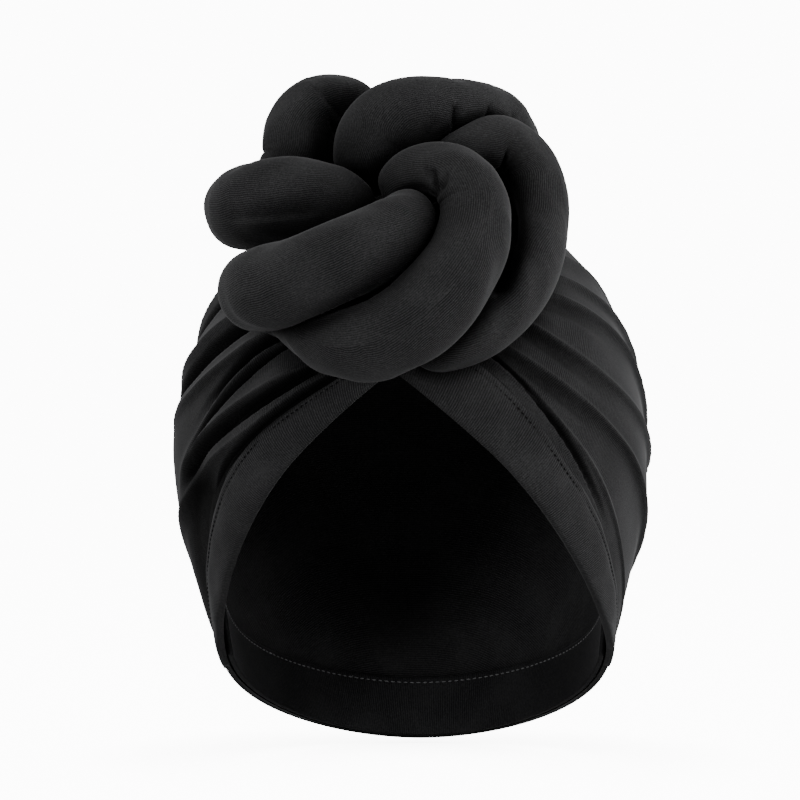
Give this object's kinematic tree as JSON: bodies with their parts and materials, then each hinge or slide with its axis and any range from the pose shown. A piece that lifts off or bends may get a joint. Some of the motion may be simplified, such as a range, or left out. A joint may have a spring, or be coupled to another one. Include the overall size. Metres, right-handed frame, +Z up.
{
  "type": "turban headwrap",
  "caption": "Pre-tied stretch-jersey turban in its worn form: gathered cap with an arched front opening, folded bands and a knot of stuffed tubes on the front.",
  "frame": {"origin": "the highest inner point of the cap, where it sits on the crown of a head", "axes": "+Z up, the front opening faces -Y, +X to the right in the front view"},
  "size_m": [0.1755, 0.2304, 0.25],
  "materials": {
    "crown_jersey": "matte ribbed stretch jersey",
    "band_jersey": "matte ribbed stretch jersey, doubled",
    "knot_jersey": "matte ribbed stretch jersey over soft filling"
  },
  "bodies": {
    "root": {"crown_shell": "crown_jersey", "front_band_left": "band_jersey", "front_band_right": "band_jersey", "nape_band": "band_jersey", "knot_strand_front": "knot_jersey", "knot_strand_left": "knot_jersey", "knot_strand_top": "knot_jersey"}
  },
  "joints": []
}
